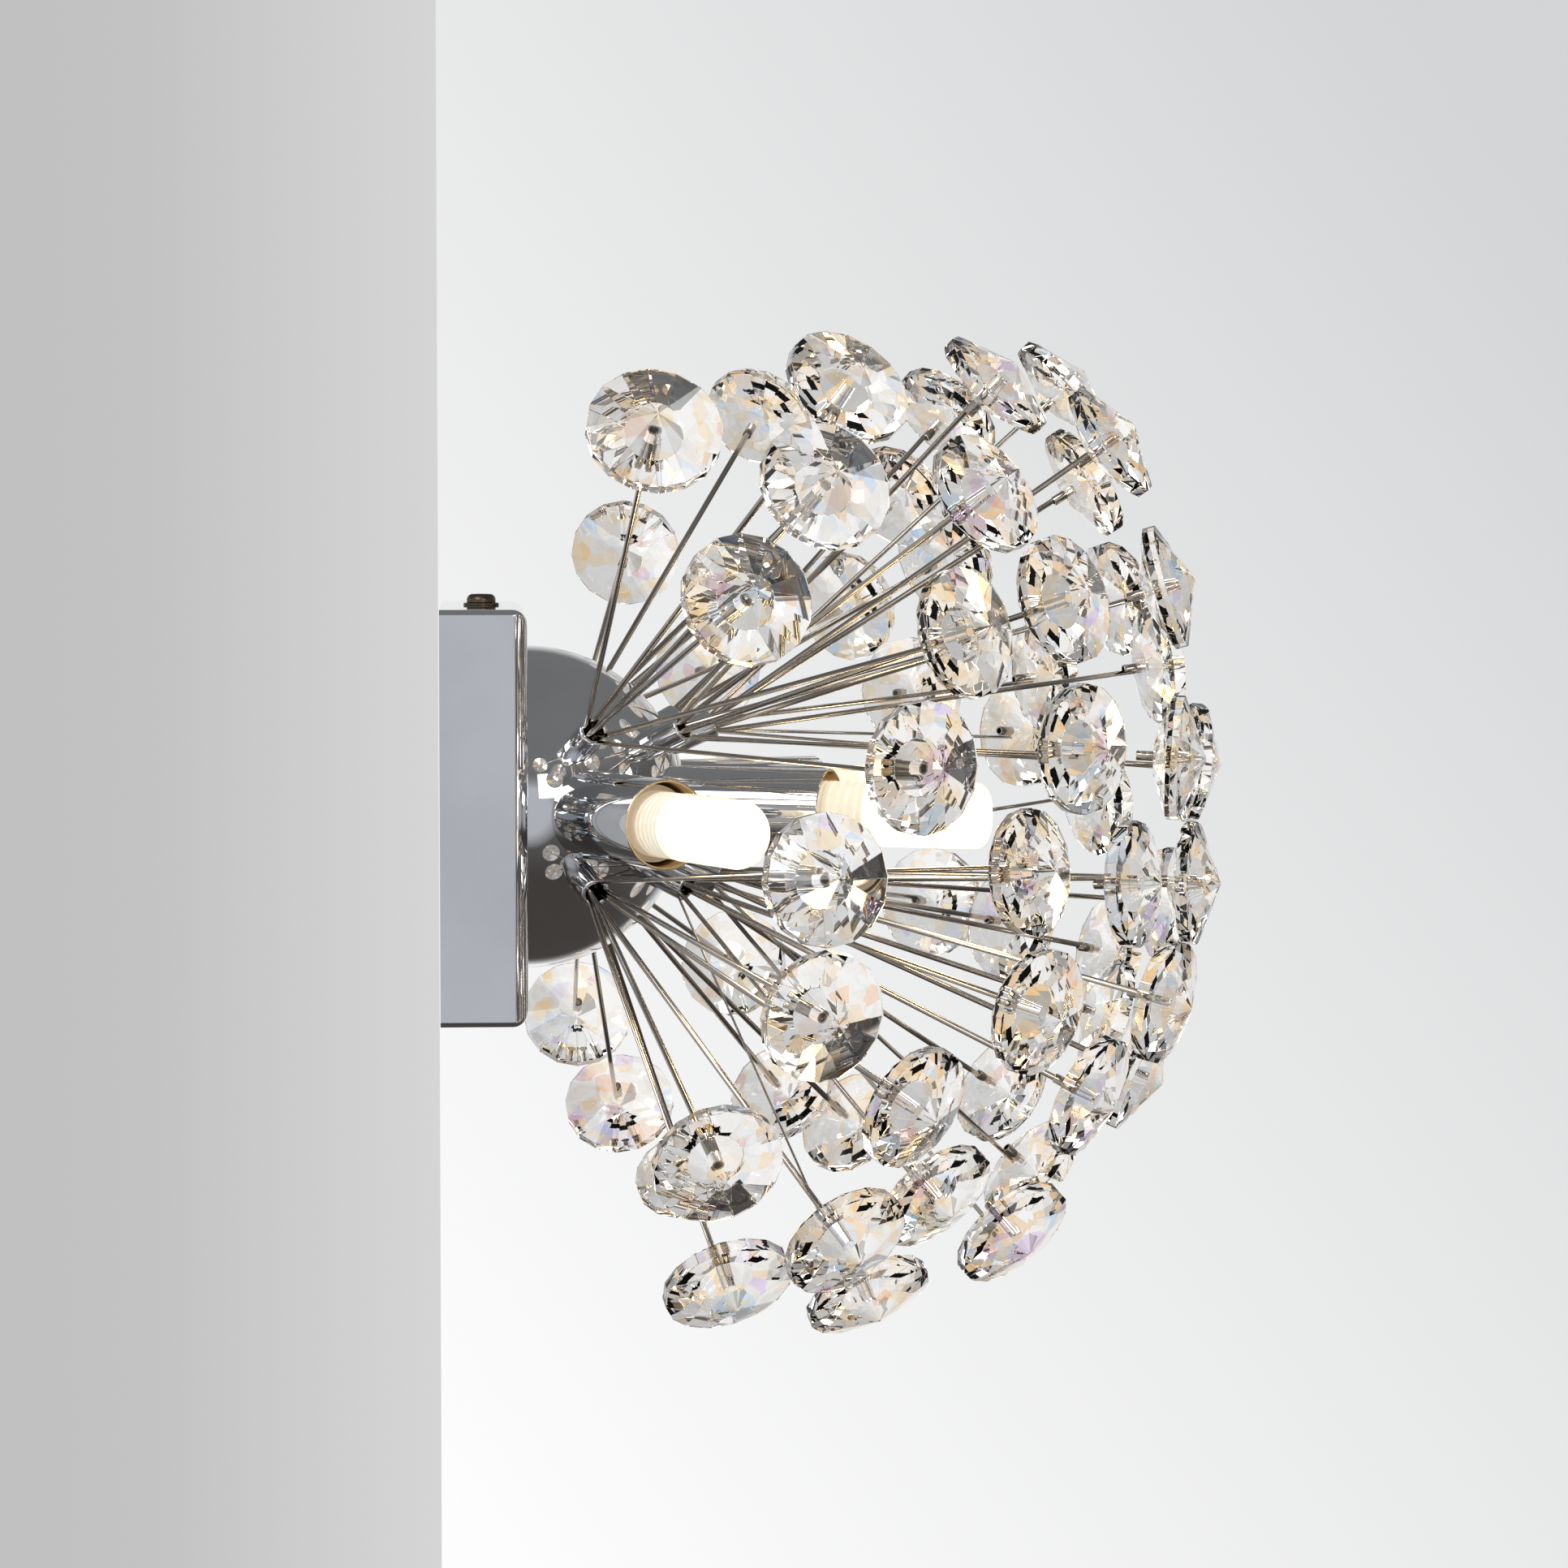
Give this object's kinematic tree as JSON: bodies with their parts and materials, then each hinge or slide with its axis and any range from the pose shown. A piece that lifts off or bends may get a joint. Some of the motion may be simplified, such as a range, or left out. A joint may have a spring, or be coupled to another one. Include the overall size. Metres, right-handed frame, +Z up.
{
  "type": "crystal wall sconce",
  "caption": "Wall light: a square box carries a half-ball hub with plug-in capsule lamps in metal sleeves and a spray of bent wires that end in faceted glass discs.",
  "frame": {"origin": "centre of the square box's back, in the wall plane, midway between the slots for the wall screws", "axes": "+X straight out of the wall, +Y level along the wall, +Z up"},
  "size_m": [0.1963, 0.3354, 0.2352],
  "materials": {
    "chrome": "mirror polished plating",
    "zinc_plated_steel": "zinc plated, dull",
    "screw_steel": "dark nickel plated",
    "black_plastic": "moulded",
    "white_plastic": "moulded",
    "brass": "stamped",
    "socket_ceramic": "unglazed, smooth",
    "lead_insulation": "silicone insulation",
    "bright_wire": "bright plated",
    "crystal_glass": "cut and polished facets",
    "bulb_base": "ribbed, satin",
    "bulb_cover": "clear",
    "light_chips": "yellow silicone over light chips"
  },
  "bodies": {
    "fixture": {"canopy_box": "chrome", "wall_bracket": "zinc_plated_steel", "canopy_screws": "screw_steel", "canopy_screw_washers": "screw_steel", "lead_bush": "black_plastic", "terminal_block": "white_plastic", "terminal_clamps": "brass", "terminal_screws": "screw_steel", "earth_screw": "screw_steel", "earth_tag": "brass", "dome": "chrome", "small_screws": "screw_steel", "lamp_nipples": "zinc_plated_steel", "lamp_nuts": "zinc_plated_steel", "lamp_sleeve_1": "chrome", "lamp_socket_1": "socket_ceramic", "lamp_sleeve_2": "chrome", "lamp_socket_2": "socket_ceramic", "lamp_sleeve_3": "chrome", "lamp_socket_3": "socket_ceramic", "lamp_sleeve_4": "chrome", "lamp_socket_4": "socket_ceramic", "socket_contacts": "brass", "lamp_leads": "lead_insulation", "wire_holders_upper": "chrome", "wire_holders_lower": "chrome", "holder_nuts": "zinc_plated_steel", "wires_upper_1": "bright_wire", "wires_upper_2": "bright_wire", "wires_upper_3": "bright_wire", "wires_upper_4": "bright_wire", "wires_upper_5": "bright_wire", "wires_lower_1": "bright_wire", "wires_lower_2": "bright_wire", "wires_lower_3": "bright_wire", "wires_lower_4": "bright_wire", "wires_lower_5": "bright_wire", "crystals_upper_1": "crystal_glass", "crystals_upper_2": "crystal_glass", "crystals_upper_3": "crystal_glass", "crystals_upper_4": "crystal_glass", "crystals_upper_5": "crystal_glass", "crystals_lower_1": "crystal_glass", "crystals_lower_2": "crystal_glass", "crystals_lower_3": "crystal_glass", "crystals_lower_4": "crystal_glass", "crystals_lower_5": "crystal_glass", "crystal_pins": "bright_wire"},
    "bulb_1": {"bulb_base_1": "bulb_base", "bulb_cover_1": "bulb_cover", "bulb_core_1": "light_chips"},
    "bulb_2": {"bulb_base_2": "bulb_base", "bulb_cover_2": "bulb_cover", "bulb_core_2": "light_chips"},
    "bulb_3": {"bulb_base_3": "bulb_base", "bulb_cover_3": "bulb_cover", "bulb_core_3": "light_chips"},
    "bulb_4": {"bulb_base_4": "bulb_base", "bulb_cover_4": "bulb_cover", "bulb_core_4": "light_chips"}
  },
  "joints": [
    {"name": "bulb_1_pull", "type": "slide", "parent": "fixture", "child": "bulb_1", "axis": [0.4067, -0.9135, 0], "range_m": [0, 0.0135]},
    {"name": "bulb_2_pull", "type": "slide", "parent": "fixture", "child": "bulb_2", "axis": [0.9272, -0.3746, 0], "range_m": [0, 0.0135]},
    {"name": "bulb_3_pull", "type": "slide", "parent": "fixture", "child": "bulb_3", "axis": [0.9272, 0.3746, 0], "range_m": [0, 0.0135]},
    {"name": "bulb_4_pull", "type": "slide", "parent": "fixture", "child": "bulb_4", "axis": [0.4067, 0.9135, 0], "range_m": [0, 0.0135]}
  ]
}
